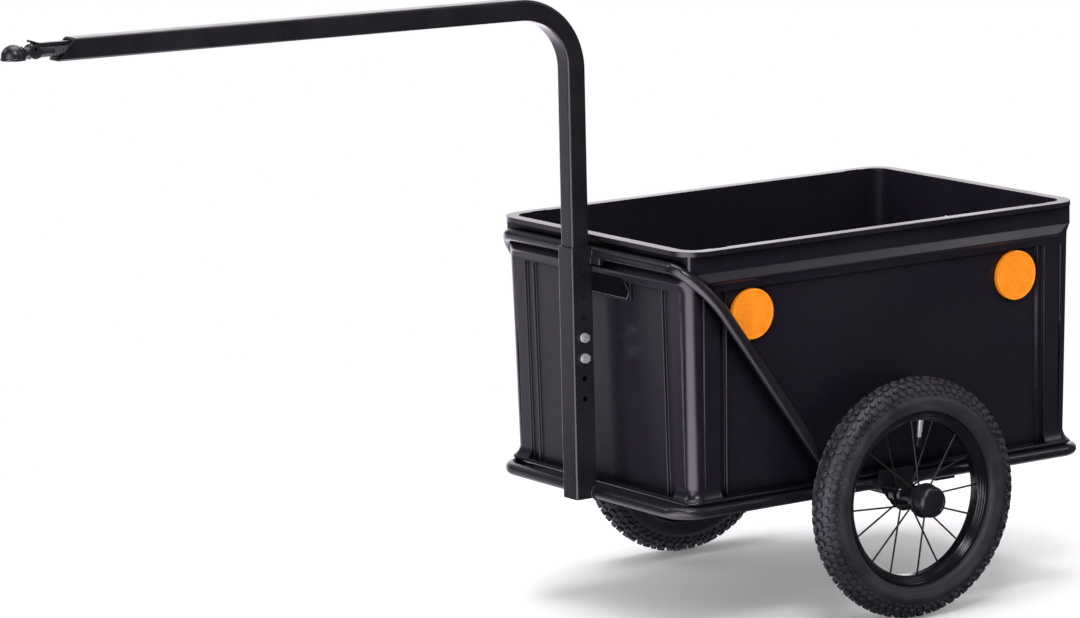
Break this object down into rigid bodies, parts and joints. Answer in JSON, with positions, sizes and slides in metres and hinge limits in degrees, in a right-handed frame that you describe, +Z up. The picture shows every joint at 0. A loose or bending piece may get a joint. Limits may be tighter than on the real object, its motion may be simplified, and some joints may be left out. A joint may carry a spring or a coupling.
{
  "type": "cargo bike trailer",
  "caption": "Small cargo trailer for a bicycle: an open stacking crate in a welded tube frame, spoked wheels on an axle, and a bent drawbar with a ball coupling.",
  "frame": {"origin": "on the ground under the middle of the trailer's whole length, on its symmetry plane", "axes": "+Z up; the drawbar and its coupling point to -Y; +X is the trailer's left side, seen by someone facing forwards along -Y; the axle lies along X"},
  "size_m": [0.572, 1.3907, 0.7721],
  "materials": {
    "crate_plastic": "moulded polypropylene, satin, near black with a violet tint",
    "frame_paint": "powder coat, satin black",
    "coupling_cast": "painted casting, semi-gloss black",
    "tyre_rubber": "matt black rubber",
    "tube_rubber": "smooth black rubber",
    "rim_paint": "black enamel",
    "cap_plastic": "smooth black plastic",
    "zinc": "bright zinc plate",
    "bearing_steel": "ground steel",
    "amber_lens": "moulded amber reflector lens",
    "red_lens": "moulded red reflector lens"
  },
  "bodies": {
    "frame": {"crate": "crate_plastic", "front_crate_strap": "frame_paint", "rear_crate_strap": "frame_paint", "lower_ring": "frame_paint", "upper_hoop": "frame_paint", "post_sleeve": "frame_paint", "drawbar": "frame_paint", "drawbar_plug": "coupling_cast", "coupling_head": "coupling_cast", "latch_pin": "zinc", "axle": "zinc", "front_left_crate_bolt": "zinc", "front_left_crate_nut": "zinc", "front_right_crate_bolt": "zinc", "front_right_crate_nut": "zinc", "rear_left_crate_bolt": "zinc", "rear_left_crate_nut": "zinc", "rear_right_crate_bolt": "zinc", "rear_right_crate_nut": "zinc", "upper_height_bolt": "zinc", "upper_height_nut": "zinc", "lower_height_bolt": "zinc", "lower_height_nut": "zinc", "left_axle_bracket": "frame_paint", "left_axle_spacer": "zinc", "left_axle_nut": "zinc", "right_axle_bracket": "frame_paint", "right_axle_spacer": "zinc", "right_axle_nut": "zinc", "front_left_reflector": "amber_lens", "front_right_reflector": "amber_lens", "rear_left_reflector": "amber_lens", "rear_right_reflector": "amber_lens", "tail_left_reflector": "red_lens", "tail_right_reflector": "red_lens"},
    "left_wheel": {"left_tyre": "tyre_rubber", "left_rim": "rim_paint", "left_inner_tube": "tube_rubber", "left_valve_cap": "cap_plastic", "left_hub": "rim_paint", "left_inner_bearing": "bearing_steel", "left_outer_bearing": "bearing_steel", "left_hub_cap": "cap_plastic"},
    "right_wheel": {"right_tyre": "tyre_rubber", "right_rim": "rim_paint", "right_inner_tube": "tube_rubber", "right_valve_cap": "cap_plastic", "right_hub": "rim_paint", "right_inner_bearing": "bearing_steel", "right_outer_bearing": "bearing_steel", "right_hub_cap": "cap_plastic"},
    "latch": {"latch_lever": "coupling_cast", "latch_spring": "zinc"}
  },
  "joints": [
    {"name": "left_wheel_spin", "type": "hinge", "parent": "frame", "child": "left_wheel", "pos_m": [0.237, 0.3885, 0.147], "axis": [1, 0, 0], "continuous": true},
    {"name": "right_wheel_spin", "type": "hinge", "parent": "frame", "child": "right_wheel", "pos_m": [-0.237, 0.3885, 0.147], "axis": [1, 0, 0], "continuous": true},
    {"name": "latch_release", "type": "hinge", "parent": "frame", "child": "latch", "pos_m": [0, -0.6569, 0.7619], "axis": [1, 0, 0], "range_deg": [0, 25], "stiffness_Nm_per_rad": 0.03, "springref_deg": -34.38}
  ]
}
